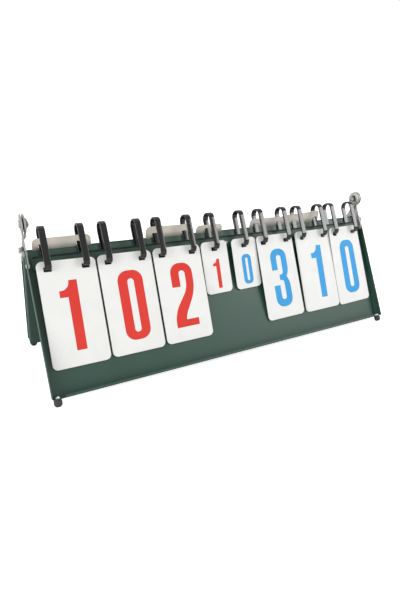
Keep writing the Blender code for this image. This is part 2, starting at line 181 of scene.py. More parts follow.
floor_paper = bpy.data.materials.new("floor_paper")
floor_paper.use_nodes = True
paper = floor_paper.node_tree
paper_path = add_node(paper, "LightPath")
lift = add_node(paper, "Math", {0: paper_path.outputs["Is Camera Ray"], 1: paper_glow},
                operation="MULTIPLY")
paper_shader = paper.nodes["Principled BSDF"]
paper_shader.inputs["Base Color"].default_value = paper_white
paper_shader.inputs["Roughness"].default_value = paper_roughness
paper_shader.inputs["Emission Color"].default_value = white
paper.links.new(lift.outputs[0], paper_shader.inputs["Emission Strength"])
floor_mesh.materials.append(floor_paper)
print("floor side in m:", 2 * floor_reach)

# %% [markdown]
# Finishes share four small effects, each a node group that is built once: worn edges, fine
# grain, soft blotches and a mask over height for painted shade. The groups give masks and
# heights, and each material decides what to do with them. A group has named inputs, so every
# material can ask for its own scale.


# %% Group helper
def add_group(name, numbers, output):
    """An empty group that takes a place and some numbers, and gives one value."""
    made = bpy.data.node_groups.new(name, "ShaderNodeTree")
    made.interface.new_socket("Place", in_out="INPUT", socket_type="NodeSocketVector")
    for label, value in numbers.items():
        socket = made.interface.new_socket(label, in_out="INPUT", socket_type="NodeSocketFloat")
        socket.default_value = value
    made.interface.new_socket(output, in_out="OUTPUT", socket_type="NodeSocketFloat")
    taken = made.nodes.new("NodeGroupInput").outputs
    given = made.nodes.new("NodeGroupOutput").inputs[output]
    return made, taken, given


# %% [markdown]
# Paint wears first along edges. The Bevel node gives the normal that a rounded edge would
# have. Where it differs from the true normal there is an edge, and a noise breaks the wear up
# so that it looks rubbed and not drawn with a ruler.

# %% Worn edges
edge_wear, taken, given = add_group("edge wear", {"Radius": 0.6 * mm, "Scale": 400.0}, "Mask")
bevel = add_node(edge_wear, "Bevel", {"Radius": taken["Radius"]}, samples=4)
normal = add_node(edge_wear, "NewGeometry")
likeness = add_node(edge_wear, "VectorMath",
                    {0: bevel.outputs["Normal"], 1: normal.outputs["Normal"]},
                    operation="DOT_PRODUCT")
edge = add_node(edge_wear, "MapRange",
                {"Value": likeness.outputs["Value"], "From Min": 0.995, "From Max": 0.86})
noise = add_node(edge_wear, "TexNoise",
                 {"Vector": taken["Place"], "Scale": taken["Scale"], "Detail": 4.0})
broken = add_node(edge_wear, "MapRange",
                  {"Value": noise.outputs["Fac"], "From Min": 0.42, "From Max": 0.62})
both = add_node(edge_wear, "Math", {0: edge.outputs["Result"], 1: broken.outputs["Result"]},
                operation="MULTIPLY")
edge_wear.links.new(both.outputs[0], given)
print("shared effect:", edge_wear.name)

# %% [markdown]
# Paint, plastic and card all have a fine grain that shows where light grazes them. A noise of
# a millimetre or less gives the height for each material's Bump node.

# %% Fine grain
grain, taken, given = add_group("grain", {"Scale": 1200.0}, "Height")
noise = add_node(grain, "TexNoise", {"Vector": taken["Place"], "Scale": taken["Scale"],
                                     "Detail": 3.0, "Roughness": 0.55})
grain.links.new(noise.outputs["Fac"], given)
print("shared effect:", grain.name)

# %% [markdown]
# Handling leaves broad soft patches on a surface. A slow, slightly distorted noise gives a
# mask that shifts the colour and the gloss a little from place to place.

# %% Soft blotches
blotches, taken, given = add_group("blotches", {"Scale": 18.0}, "Mask")
noise = add_node(blotches, "TexNoise", {"Vector": taken["Place"], "Scale": taken["Scale"],
                                        "Detail": 5.0, "Distortion": 0.6})
spread = add_node(blotches, "MapRange",
                  {"Value": noise.outputs["Fac"], "From Min": 0.3, "From Max": 0.7})
blotches.links.new(spread.outputs["Result"], given)
print("shared effect:", blotches.name)

# %% [markdown]
# The cards get a painted shade where they go down between the tray and the rings, and the front
# cards a faint one where the rings stand over them. This group turns a point's height into the
# mask for that painted shade: nothing at one height and full at another, with a soft start and
# end.

# %% Painted shade over height
height_shade, taken, given = add_group("painted shade over height", {"Clear": 0.0, "Full": 1.0}, "Mask")
height = add_node(height_shade, "SeparateXYZ", {"Vector": taken["Place"]})
spread = add_node(height_shade, "MapRange",
                  {"Value": height.outputs["Z"], "From Min": taken["Clear"],
                   "From Max": taken["Full"]}, interpolation_type="SMOOTHSTEP")
height_shade.links.new(spread.outputs["Result"], given)
print("shared effect:", height_shade.name)


# %% [markdown]
# One builder wires the shared effects into a finish: blotches shift the colour and the gloss a
# little, worn edges show another colour, a fade over height mixes in a painted shade where one
# is given, and grain drives the bump. Each finish below is then a short list of real properties
# and any painted shade. Object coordinates keep every pattern at its true size.

# %% Finish builder
def finish(name, colour, second, roughness, metallic=0.0, worn=None, wear_radius=0.5 * mm,
           grain_scale=1200.0, bump=0.02 * mm, blotch_scale=18.0, index=1.5, fade=None):
    """A material that drifts between two colours and two values of roughness."""
    made = bpy.data.materials.new(name)
    made.use_nodes = True
    tree = made.node_tree
    shader = tree.nodes["Principled BSDF"]
    place = add_node(tree, "TexCoord").outputs["Object"]

    def effect(kind, **values):
        return add_node(tree, "Group", {"Place": place, **values}, node_tree=kind).outputs[0]

    def mixed(mask, under, over):
        values = {"Factor": mask, "A": under, "B": (*over, 1.0)}
        return add_node(tree, "Mix", values, data_type="RGBA").outputs["Result"]

    patches = effect(blotches, Scale=blotch_scale)
    result = mixed(patches, (*colour, 1.0), second)
    # A fade mixes a darker colour in over height as painted shade.
    if fade:
        shade, clear, full = fade
        result = mixed(effect(height_shade, Clear=clear, Full=full), result, shade)
    if worn:
        result = mixed(effect(edge_wear, Radius=wear_radius), result, worn)
    gloss = add_node(tree, "MapRange",
                     {"Value": patches, "To Min": roughness[0], "To Max": roughness[1]})
    relief = add_node(tree, "Bump", {"Height": effect(grain, Scale=grain_scale), "Distance": bump})
    tree.links.new(result, shader.inputs["Base Color"])
    tree.links.new(gloss.outputs["Result"], shader.inputs["Roughness"])
    tree.links.new(relief.outputs["Normal"], shader.inputs["Normal"])
    shader.inputs["Metallic"].default_value = metallic
    shader.inputs["IOR"].default_value = index
    return made


# %% [markdown]
# The trays are sprayed with a dark green enamel, half matt, and its worn edges go pale. The
# rail has the same paint with a little less shine, and its colour is a little darker as painted
# shade. The rings are a glossy black moulding, which is what makes them mirror the lamps so
# strongly.

# %% Paint and plastic
green_paint = finish("green_enamel", (0.009, 0.054, 0.034), (0.013, 0.060, 0.040), (0.46, 0.54),
                     worn=(0.060, 0.110, 0.095), grain_scale=700.0, bump=0.03 * mm, index=1.68)
# The rail's slightly darker colour is painted shade.
shaded_rail_paint = finish("rail_enamel_painted_shade", (0.009, 0.048, 0.031), (0.013, 0.054, 0.035), (0.50, 0.58),
                    worn=(0.050, 0.095, 0.080), grain_scale=700.0, bump=0.03 * mm, index=1.58)
black_plastic = finish("black_moulding", (0.004, 0.004, 0.004), (0.007, 0.007, 0.007),
                       (0.12, 0.19), worn=(0.08, 0.08, 0.08), wear_radius=0.3 * mm,
                       grain_scale=2600.0, bump=0.01 * mm, index=1.56)
print("paint and plastic:", green_paint.name, shaded_rail_paint.name, black_plastic.name)

# %% [markdown]
# The front cards are white plastic with a soft sheen, and a faint painted shade near their tops
# where the rings stand over them. The turned-over ones show their backs in beige or grey, with a
# strong painted shade towards the tray. A fade of painted shade is given as the darker colour,
# the height where it starts and the height where it is full.

# %% Card stock
card_grain = {"grain_scale": 3500.0, "bump": 0.006 * mm}
white_card = finish("white_card_stock", (0.84, 0.84, 0.82), (0.80, 0.80, 0.78), (0.62, 0.72),
                    blotch_scale=30.0, index=1.40,
                    fade=((0.81, 0.81, 0.78), 158 * mm, 176 * mm), **card_grain)
beige_card = finish("card_backs", (0.80, 0.75, 0.67), (0.74, 0.69, 0.60), (0.55, 0.65),
                    blotch_scale=40.0, index=1.35,
                    fade=((0.36, 0.33, 0.29), 190 * mm, 180 * mm), **card_grain)
grey_card = finish("grey_card_backs", (0.76, 0.72, 0.68), (0.68, 0.64, 0.60), (0.55, 0.65),
                   blotch_scale=40.0, index=1.35,
                   fade=((0.34, 0.31, 0.28), 192 * mm, 180 * mm), **card_grain)
print("card stock:", white_card.name, beige_card.name, grey_card.name)

# %% [markdown]
# The hinges are nickel-plated and a little dull, the foot screws are bright zinc, and the
# hinge nuts are blackened. A metal has Metallic at one, and its colour is then the colour of
# its reflection.

# %% Metals
nickel = finish("nickel_plate", (0.54, 0.54, 0.52), (0.44, 0.44, 0.42), (0.50, 0.62),
                metallic=1.0, grain_scale=1500.0, bump=0.008 * mm, blotch_scale=90.0)
zinc = finish("bright_zinc", (0.95, 0.96, 0.96), (0.88, 0.89, 0.89), (0.24, 0.34),
              metallic=1.0, grain_scale=1500.0, bump=0.006 * mm, blotch_scale=120.0)
dark_steel = finish("blackened_steel", (0.10, 0.10, 0.095), (0.16, 0.16, 0.15), (0.40, 0.52),
                    metallic=1.0, grain_scale=1500.0, bump=0.01 * mm, blotch_scale=120.0)
print("metals:", nickel.name, zinc.name, dark_steel.name)

# %% [markdown]
# The small dark parts are all slightly different: fibre washers are brown-black and dry, and the
# feet are rubber. A dead black is painted shade: a strip of it along the rail's top edge is a
# painted shadow, and it fills the cross recesses of the foot screws.

# %% Fibre, rubber and a black for painted shade
fibre = finish("dark_washer_fibre", (0.045, 0.043, 0.040), (0.06, 0.055, 0.05), (0.65, 0.8),
               grain_scale=2000.0, bump=0.02 * mm)
rubber = finish("black_rubber_moulding", (0.030, 0.028, 0.030), (0.040, 0.038, 0.040),
                (0.55, 0.7), grain_scale=1800.0, bump=0.03 * mm)
shade_black = finish("painted_shade_black", (0.014, 0.017, 0.016), (0.018, 0.021, 0.020), (0.6, 0.7),
                grain_scale=1800.0, bump=0.02 * mm, index=1.35)
print("small dark parts:", fibre.name, rubber.name, shade_black.name)

# %% [markdown]
# The inks are strong red and blue, printed matt. A low IOR takes most of the shine off, so
# the colour stays clean from every side.

# %% Inks
ink_look = {"grain_scale": 3500.0, "bump": 0.004 * mm, "index": 1.30}
red_ink = finish("red_print", (0.72, 0.050, 0.036), (0.68, 0.044, 0.031), (0.6, 0.7), **ink_look)
blue_ink = finish("blue_print", (0.060, 0.365, 0.735), (0.050, 0.335, 0.70), (0.6, 0.7),
                  **ink_look)
print("inks:", red_ink.name, blue_ink.name)

# %% [markdown]
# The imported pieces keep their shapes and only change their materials. Their names say what
# they are, so a word in the name picks the finish. The longer names come first, because
# foot_screw is a screw and not a foot.

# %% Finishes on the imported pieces
node_finishes = [("screw", nickel), ("foot", rubber), ("spacer", fibre), ("pivot", nickel),
                 ("arm", nickel), ("rivet", nickel), ("stud", nickel), ("tray", green_paint),
                 ("ring_rail", shaded_rail_paint), ("ring", black_plastic), ("card_stack", white_card),
                 ("flipped_stack", beige_card)]
for name, node in nodes.items():
    surface = next(surface for word, surface in node_finishes if word in name)
    node.data.materials.clear()
    node.data.materials.append(surface)
print("dressed", len(nodes), "packed pieces")

# %% [markdown]
# Every front place holds a stack of thin plastic cards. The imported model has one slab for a
# stack, and here each slab gives way to four loose cards. A card hangs from its slots, so
# heights on a card are counted from the top of its slots.

# %% Card sizes
card_sizes = {"large": (76.2 * mm, 140.0 * mm), "small": (46.5 * mm, 80.5 * mm)}
card_corner = 7.0 * mm
card_thickness = 0.35 * mm
slot_size = (10.4 * mm, 6.4 * mm)
slot_corner = 1.0 * mm
slot_drop = 8.5 * mm
slot_spacing = 49.0 * mm
print("large card in mm:", [round(side / mm, 1) for side in card_sizes["large"]])

# %% [markdown]
# Several bmeshes often end up in one piece, such as four cards in a stack. A bmesh can take
# in an ordinary mesh, so a copy is written to a scratch mesh, moved there and read back.


# %% Copies
def add_copy(target, piece, matrix=Matrix.Identity(4)):
    """Adds a moved copy of one bmesh to another."""
    scratch = bpy.data.meshes.new("scratch")
    piece.to_mesh(scratch)
    scratch.transform(matrix)
    target.from_mesh(scratch)
    bpy.data.meshes.remove(scratch)


# %% [markdown]
# Many pieces here are flat plates with rounded corners and holes. A plate starts as one face
# for each outline and hole, and a vertex bevel rounds each corner by its own radius. Drawing
# the arcs point by point would need the trigonometry that the bevel already knows.


# %% Rounded outlines
def corner_loop(corners, segments=8):
    """One face from corners given as (x, y, rounding), each corner rounded by its own radius."""
    made = bmesh.new()
    verts = [made.verts.new((x, y, 0.0)) for x, y, _ in corners]
    made.faces.new(verts)
    for vert, (_, _, rounding) in zip(verts, corners):
        if rounding > 0:
            bmesh.ops.bevel(made, geom=[vert], offset=rounding, segments=segments, profile=0.5,
                            affect="VERTICES", material=-1)
    return made


def rectangle(centre, size, rounding):
    """The four corners of a rectangle, in the order that corner_loop takes."""
    x, y = centre
    across, up = size[0] / 2, size[1] / 2
    return [(x - across, y - up, rounding), (x + across, y - up, rounding),
            (x + across, y + up, rounding), (x - across, y + up, rounding)]


# %% [markdown]
# The loops of a plate lie in one plane. Their faces are taken away and one fill makes a single
# face that leaves the holes open. Extruding gives the thickness. That is quicker and cleaner
# than cutting the holes with a boolean.


# %% Plates
def flat_shape(loops, thickness):
    """A flat plate from outline and hole loops, with its back at height zero."""
    made = bmesh.new()
    for corners in loops:
        piece = corner_loop(corners)
        add_copy(made, piece)
        piece.free()
    bmesh.ops.delete(made, geom=made.faces[:], context="FACES_ONLY")
    bmesh.ops.triangle_fill(made, edges=made.edges[:], use_beauty=True, normal=(0.0, 0.0, 1.0))
    grown = bmesh.ops.extrude_face_region(made, geom=made.faces[:])
    lifted = [item for item in grown["geom"] if isinstance(item, bmesh.types.BMVert)]
    bmesh.ops.translate(made, verts=lifted, vec=(0.0, 0.0, thickness))
    bmesh.ops.recalc_face_normals(made, faces=made.faces)
    return made


# %% [markdown]
# Every finished piece goes through one door. Its place is applied to the mesh and the object
# stays at the origin, as the imported pieces do. Faces are shaded smooth except across sharp
# corners, the piece is hung on the body it rides on, and the imported pieces it stands for are
# hidden.

# %% Finished pieces
sharp_corner = radians(32)


def add_piece(name, piece, surface, body, matrix=Matrix.Identity(4), stands_for=()):
    """Turns a bmesh into a finished object that rides on a body."""
    mesh = bpy.data.meshes.new(name)
    piece.to_mesh(mesh)
    piece.free()
    mesh.transform(matrix)
    mesh.materials.append(surface)
    mesh.shade_smooth()
    mesh.set_sharp_from_angle(angle=sharp_corner)
    made = bpy.data.objects.new(name, mesh)
    scene.collection.objects.link(made)
    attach(made, body)
    if stands_for:
        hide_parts(*stands_for)
    return made


# %% [markdown]
# A large card hangs on two rings and a small one on one. The outline is drawn round the slots,
# and it can sit a little lower than usual or to one side of them, as cards from different
# batches do.


# %% Card outline
def card_loops(size, slot, drop=0.0, slide=0.0):
    """Outline and slots of a card, with the middle of its slots' top edge at the origin."""
    width, height = card_sizes[size]
    top = slot_drop - drop
    loops = [rectangle((slide, top - height / 2), (width, height), card_corner)]
    offsets = (-slot_spacing / 2, slot_spacing / 2) if size == "large" else (0.0,)
    for offset in offsets:
        loops.append(rectangle((offset, -slot[1] / 2), slot, slot_corner))
    return loops


# %% [markdown]
# Real cards never hang quite square. Each stack gets a small shift along its hooks and a small
# tilt, and some turn one edge a little forward at the top while the foot stays flat on the
# tray. In a row of card_poses come the shift, how far the outline sits lower, the tilt and
# that turn. In a row of fan_shifts come the side steps of the three cards behind the front
# one, in millimetres.

# %% Small differences between the stacks
card_kinds = ["large", "large", "large", "small", "small", "large", "large", "large"]
card_poses = [(0.2 * mm, 1.1 * mm, radians(-0.45), radians(2.5)),
              (-0.3 * mm, 1.1 * mm, radians(-0.15), 0.0),
              (-0.2 * mm, 0.8 * mm, 0.0, 0.0),
              (-1.4 * mm, 0.0, radians(0.9), radians(2.0)),
              (-1.0 * mm, 0.0, radians(1.3), radians(1.0)),
              (-1.1 * mm, 0.0, radians(0.7), radians(3.0)),
              (1.3 * mm, 0.0, radians(0.3), radians(1.0)),
              (0.4 * mm, 0.0, radians(1.2), radians(5.0))]
fan_shifts = [(-0.1, 0.1, -0.2), (-0.7, 0.9, 0.4), (0.3, 0.1, 0.2), (0.4, 0.6, 1.0),
              (0.6, 1.2, 1.7), (0.4, 0.7, 1.0), (-0.5, -1.2, -1.8), (-0.1, -0.2, 0.0)]
print("front places:", len(card_kinds))

# %% [markdown]
# A stack hangs where its joint is, on the hooks of its rings. The tray leans back by 26
# degrees, and a stack stands a little more upright than that, because its top is held off the
# face by the hooks while its foot touches the face.

# %% Where each stack hangs
lean = radians(26.0)
hang_turn = {"large": 0.08026, "small": 0.14398}
hinges = {joint["name"]: joint for joint in frame["joints"]}


def stack_matrix(number):
    """Where a stack hangs on its hooks, with its own small shift and tilt."""
    across, _, tilt, _ = card_poses[number - 1]
    spot = hinges[f"card_{number}_swing"]["pos_m"]
    turn = Matrix.Rotation(pi / 2 - lean + hang_turn[card_kinds[number - 1]], 4, "X")
    return (Matrix.Translation(spot) @ turn @ Matrix.Translation((across, 0.0, 0.0))
            @ Matrix.Rotation(tilt, 4, "Z"))


# %% [markdown]
# A flat plate can only bend where it has points, so it is first cut across a few times with
# bisect_plane, and then its points move forward or back by a share of their place. A lattice
# would bend it as well, but this needs no second object.

# %% Bending
upright_cuts = (-0.3, -0.15, 0.0, 0.15, 0.3)
level_cuts = (0.2, 0.4, 0.6, 0.8)


def warp(piece, size, turn):
    """Turns the top of a card about its upright middle line, fading to nothing at the foot."""
    width, height = card_sizes[size]
    cuts = [((share * width, 0.0, 0.0), (1.0, 0.0, 0.0)) for share in upright_cuts]
    cuts += [((0.0, slot_drop - share * height, 0.0), (0.0, 1.0, 0.0)) for share in level_cuts]
    for place, direction in cuts:
        everything = piece.verts[:] + piece.edges[:] + piece.faces[:]
        bmesh.ops.bisect_plane(piece, geom=everything, plane_co=place, plane_no=direction)
    for vert in piece.verts:
        foot_share = (slot_drop - vert.co.y) / height
        vert.co.z -= vert.co.x * turn * (1.0 - foot_share)


# %% [markdown]
# Now the front cards themselves. One card is cut for each place, and four copies of it lie
# behind one another with a hair of air between them. The whole stack is bent together and
# takes the place of its slab.

# %% Front cards
front_cards = 4
card_pitch = 0.43 * mm
layer_drop = 0.1 * mm
slot_lift = -3.754 * mm
stack_front = -1.167 * mm
for number, size in enumerate(card_kinds, 1):
    _, drop, _, turn = card_poses[number - 1]
    card = flat_shape(card_loops(size, slot_size, drop), card_thickness)
    stack = bmesh.new()
    for behind in reversed(range(front_cards)):
        shift = fan_shifts[number - 1][behind - 1] * mm if behind else 0.0
        depth = stack_front - card_thickness - behind * card_pitch
        add_copy(stack, card, Matrix.Translation((shift, slot_lift - layer_drop * behind, depth)))
    card.free()
    warp(stack, size, turn)
    add_piece(f"cards_{number}", stack, white_card, f"card_stack_{number}", stack_matrix(number),
              (f"card_stack_{number}",))
print("cards in each front stack:", front_cards)

# %% [markdown]
# The numerals are heavy, narrow and printed straight on the front cards. Each is drawn once in
# millimetres, as corners with their own rounding, counted from the top of the card's slots.
# A font would be quicker, but it would bring its own proportions. First comes the outline of a
# figure, and then its hole if it has one.

# %% Drawn figures
numerals = {
    "0": [
        [(-16.3, -117.0, 14.6), (20.3, -117.0, 14.6), (20.3, -19.5, 14.6), (-16.3, -19.5, 14.6)],
        [(-2.5, -106.2, 4.6), (6.9, -106.2, 4.6), (6.9, -31.0, 4.6), (-2.5, -31.0, 4.6)]],
    "1": [
        [(-4.7, -114.2, 0.0), (8.6, -114.2, 0.0), (9.2, -21.6, 0.0), (-1.5, -21.6, 0.0),
         (-3.0, -34.0, 9.0), (-15.3, -34.6, 0.0), (-15.2, -43.6, 0.0), (-4.7, -43.6, 0.0)]],
    "2": [
        [(-18.7, -113.6, 0.0), (18.1, -113.6, 0.0), (18.1, -103.2, 0.0), (-1.6, -103.2, 1.0),
         (-1.2, -97.0, 8.0), (18.9, -62.0, 14.0), (18.9, -19.0, 15.5), (-16.4, -19.0, 14.5),
         (-16.4, -53.9, 0.0), (-3.2, -53.9, 0.0), (-3.2, -30.4, 4.6), (6.6, -30.4, 4.6),
         (6.6, -58.0, 10.0), (-18.7, -92.0, 14.0)]],
    "3": [
        [(-16.0, -78.4, 0.0), (-16.0, -115.0, 14.5), (18.3, -115.0, 14.5), (18.3, -72.0, 9.0),
         (12.8, -65.4, 0.5), (18.3, -59.0, 9.0), (18.3, -17.6, 14.5), (-15.4, -17.6, 14.5),
         (-15.4, -52.8, 0.0), (-3.4, -52.8, 0.0), (-3.4, -28.4, 4.6), (6.3, -28.4, 4.6),
         (6.3, -61.2, 5.0), (-2.0, -61.2, 0.0), (-2.0, -70.6, 0.0), (6.0, -70.6, 5.0),
         (6.0, -103.0, 4.6), (-3.6, -103.0, 4.6), (-3.6, -78.4, 0.0)]]}
print("figures drawn:", ", ".join(numerals))

# %% [markdown]
# A figure is filled and given the thickness of a film of ink. On a small card it is the same
# figure at about half the size. It is bent exactly as its card is, so it never sinks in.

# %% Numerals
ink_thickness = 0.05 * mm
ink_gap = 0.01 * mm
print_drop = 2.0
print_scale = {"large": 1.0, "small": 0.49}


def numeral_shape(figure, scale, shift):
    """A filled figure at a scale, shifted by (x, y) in millimetres."""
    loops = []
    for corners in numerals[figure]:
        loops.append([((x * scale + shift[0]) * mm, (y * scale + shift[1] - print_drop) * mm,
                       rounding * scale * mm) for x, y, rounding in corners])
    return flat_shape(loops, ink_thickness)


score = [("1", red_ink, (0.0, 0.0)), ("0", red_ink, (0.0, 0.0)), ("2", red_ink, (0.0, 0.0)),
         ("1", red_ink, (1.4, -10.3)), ("0", blue_ink, (0.0, -9.9)), ("3", blue_ink, (0.0, 0.0)),
         ("1", blue_ink, (4.4, 0.9)), ("0", blue_ink, (-1.7, 1.0))]
for number, ((figure, ink, shift), size) in enumerate(zip(score, card_kinds), 1):
    shape = numeral_shape(figure, print_scale[size], shift)
    bmesh.ops.translate(shape, verts=shape.verts, vec=(0.0, 0.0, stack_front + ink_gap))
    warp(shape, size, card_poses[number - 1][3])
    add_piece(f"numeral_{number}", shape, ink, f"card_stack_{number}", stack_matrix(number))
    print("numeral", figure, "on card", number)

# %% [markdown]
# Cards that were already used are turned over the rings and hang behind the front tray. Only
# their top margins show above its edge. Each place has two loose cards, one a little higher or
# more crooked than the other, with narrower slots that fit close round the rings. For each
# card there is a step to the side, a rise and a tilt, in millimetres and degrees.

# %% Turned-over cards
flip_turn = radians(100.0)
close_slot = (8.5 * mm, 5.0 * mm)
grey_place = 4
flip_kinds = ["large", "large", "small", "large", "large"]
flip_poses = [[(1.7, -0.4, 0.0), (2.1, 0.0, 0.3)],
              [(-0.6, 1.0, -0.3), (-0.8, 1.6, -0.6)],
              [(3.2, -3.6, -0.5), (3.6, -3.2, 0.8)],
              [(2.2, -1.0, 0.0), (2.0, -0.7, -0.4)],
              [(-7.0, 2.2, 2.2), (-6.0, 2.6, 4.6)]]
flip_depths = (-0.50 * mm, 0.10 * mm)
for number, (size, poses) in enumerate(zip(flip_kinds, flip_poses), 1):
    spot = hinges[f"flipped_{number}_swing"]["pos_m"]
    hang = Matrix.Translation(spot) @ Matrix.Rotation(flip_turn, 4, "X")
    pair = bmesh.new()
    for (across, rise, tilt), depth in zip(poses, flip_depths):
        loops = card_loops(size, close_slot, -rise * mm, across * mm)
        card = flat_shape(loops, card_thickness)
        add_copy(pair, card, Matrix.Translation((0.0, close_slot[1] / 2, depth))
                 @ Matrix.Rotation(radians(tilt), 4, "Z"))
        card.free()
    surface = grey_card if number == grey_place else beige_card
    add_piece(f"turned_cards_{number}", pair, surface, f"flipped_stack_{number}", hang,
              (f"flipped_stack_{number}",))
    print("turned-over cards", number, size)

# %% [markdown]
# The hardware is easiest to place in the front tray's own frame: across the board, up the
# face and out of it, from the middle of the tray's lower edge. The first stack's joint sits in
# the hook of a ring, whose place up the face and out of it is known, and that gives the frame.
# The back tray is the front one turned half round.

# %% Frames of the two trays
hook_up = 170.5 * mm
hook_out = 14.7 * mm
upright = Matrix.Rotation(pi / 2 - lean, 4, "X")
first_hook = Vector(hinges["card_1_swing"]["pos_m"])
inside = upright @ Vector((first_hook.x, hook_up, hook_out))
front_frame = Matrix.Translation(first_hook - inside) @ upright
back_frame = Matrix.Rotation(pi, 4, "Z") @ front_frame
tray_frames = {"front": front_frame, "back": back_frame}
ends = {"left": -1, "right": 1}
print("front tray's lower edge in mm:", [round(side / mm, 2) for side in front_frame.translation])

# %% [markdown]
# The rings are moulded strips with soft edges. One ring is a rounded section that is pulled up
# the rear leg, spun over the top, pulled down the front leg and spun round the hook. A spin
# keeps the section square to its path, which a hand-made list of points would not. Two helpers
# do these moves and hand back the new end, ready for the next one.


# %% Pulling and swinging a section
def pull(piece, faces, step):
    """Extrudes faces along a step and returns the new end faces."""
    grown = bmesh.ops.extrude_face_region(piece, geom=faces)["geom"]
    tips = [item for item in grown if isinstance(item, bmesh.types.BMFace)]
    moved = [item for item in grown if isinstance(item, bmesh.types.BMVert)]
    bmesh.ops.translate(piece, verts=moved, vec=step)
    return tips


def swing(piece, faces, up, out, angle, steps):
    """Spins faces about a line across the board and returns the new end faces."""
    turned = bmesh.ops.spin(piece, geom=faces, cent=(0.0, up, out), axis=(1.0, 0.0, 0.0),
                            angle=angle, steps=steps)
    return [item for item in turned["geom_last"] if isinstance(item, bmesh.types.BMFace)]


# %% [markdown]
# The section starts as a flat rounded rectangle at the foot of the rear leg. The same moves in
# the editor would be E to extrude and the Spin tool with the cursor at each centre.

# %% Ring
ring_width = 8.6 * mm
ring_thickness = 2.6 * mm
ring_rounding = 0.55 * mm
ring_top = 219.8 * mm
ring_corner = 8.8 * mm
leg_out = 1.3 * mm
leg_foot = 168.0 * mm
front_out = 21.3 * mm
turn_up = ring_top - ring_corner
corner_steps = 10
hook_turn = radians(120.0)
hook_steps = 12
tip_step = (0.0, 0.75 * mm, -1.3 * mm)
tip_rounding = 0.6 * mm
section_steps = 4
soft_steps = 3

ring = corner_loop(rectangle((0.0, 0.0), (ring_width, ring_thickness), ring_rounding),
                   section_steps)
bmesh.ops.rotate(ring, verts=ring.verts, cent=(0.0, 0.0, 0.0),
                 matrix=Matrix.Rotation(pi / 2, 3, "X"))
bmesh.ops.translate(ring, verts=ring.verts, vec=(0.0, leg_foot, leg_out))
end = pull(ring, ring.faces[:], (0.0, turn_up - leg_foot, 0.0))
end = swing(ring, end, turn_up, leg_out + ring_corner, pi / 2, corner_steps)
end = pull(ring, end, (0.0, 0.0, front_out - leg_out - 2 * ring_corner))
end = swing(ring, end, turn_up, front_out - ring_corner, pi / 2, corner_steps)
end = pull(ring, end, (0.0, hook_up - turn_up, 0.0))
end = swing(ring, end, hook_up, hook_out, hook_turn, hook_steps)
end = pull(ring, end, tip_step)
bmesh.ops.bevel(ring, geom=[edge for face in end for edge in face.edges], offset=tip_rounding,
                segments=soft_steps, profile=0.5, affect="EDGES", material=-1)
bmesh.ops.recalc_face_normals(ring, faces=ring.faces)
print("faces in one ring:", len(ring.faces))

# %% [markdown]
# Small bars and lugs are boxes with soft edges, because a perfectly sharp edge never catches
# the light. The box is a cube that is stretched between two corners before its edges are
# bevelled.


# %% Soft-edged box
def block(low, high, rounding=0.0):
    """A box between two corners in millimetres, its edges softened by a bevel."""
    low, high = Vector(low) * mm, Vector(high) * mm
    made = bmesh.new()
    bmesh.ops.create_cube(made, size=1.0, matrix=Matrix.Translation((low + high) / 2)
                          @ Matrix.Diagonal((*(high - low), 1.0)))
    if rounding > 0:
        bmesh.ops.bevel(made, geom=made.edges[:], offset=rounding * mm, segments=soft_steps,
                        profile=0.5, affect="EDGES", material=-1)
    return made


# %% [markdown]
# Behind the tray's face a neck goes through a window in the steel and ends in a catch that
# snaps behind it. Then the finished ring is copied to the fourteen places. Each copy takes the
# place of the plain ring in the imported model, whose box says where it stands.

# %% Snap lug and the fourteen rings
half_ring = ring_width / mm / 2
lug_top = 176.2
lug_back = -2.3
lug_rounding = 0.25
neck_foot = 173.8
neck_front = 0.6
catch_foot = 172.6
catch_front = -1.1
neck = block((-half_ring, neck_foot, lug_back), (half_ring, lug_top, neck_front), lug_rounding)
catch = block((-half_ring, catch_foot, lug_back), (half_ring, lug_top, catch_front),
              lug_rounding)
for part in (neck, catch):
    add_copy(ring, part)
    part.free()

ring_count = 14
for number in range(1, ring_count + 1):
    low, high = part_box(f"ring_{number}")
    copy = bmesh.new()
    add_copy(copy, ring, Matrix.Translation(((low[0] + high[0]) / 2, 0.0, 0.0)))
    add_piece(f"moulded_ring_{number}", copy, black_plastic, "front", front_frame,
              (f"ring_{number}",))
ring.free()
print("rings:", ring_count)

# %% [markdown]
# The steel pans have small details that catch the light. Along the foot the flange is turned
# up into a narrow lip, which shows as a pale line. The back tray's side flanges end in a
# rolled hem, and along the top of the rail that holds the rings a black strip is a painted shadow.

# %% Lips, hems and a painted shadow strip
lip_corners = ((-283.0, 0.8, 10.4), (283.0, 3.6, 11.5))
lip_rounding = 0.3
hem_across = (299.6, 301.4)
hem_up = (3.0, 184.0)
hem_out = (9.4, 11.6)
hem_rounding = 0.8
strip_corners = ((-291.0, 181.8, 3.4), (291.0, 184.2, 4.3))
strip_rounding = 0.35
for tray, place in tray_frames.items():
    lip = block(*lip_corners, lip_rounding)
    add_piece(f"{tray}_lip", lip, green_paint, tray, place)
for name, side in ends.items():
    near, far = sorted(side * across for across in hem_across)
    hem = block((near, hem_up[0], hem_out[0]), (far, hem_up[1], hem_out[1]), hem_rounding)
    add_piece(f"back_hem_{name}", hem, green_paint, "back", back_frame)
# A black strip on the rail's top edge is a painted shadow of the dark line there.
strip = block(*strip_corners, strip_rounding)
add_piece("rail_painted_shadow", strip, shade_black, "front", front_frame)
print("lips:", len(tray_frames), "hems:", len(ends))

# %% [markdown]
# Round hardware is a profile spun once about its axis, like a piece on a lathe. The profile is
# a list of (radius, height) pairs. A profile that starts and ends on the axis closes itself,
# and one that doesn't, such as a washer's, is joined from its last point to its first.


# %% Turned shapes
merge_reach = 0.001 * mm


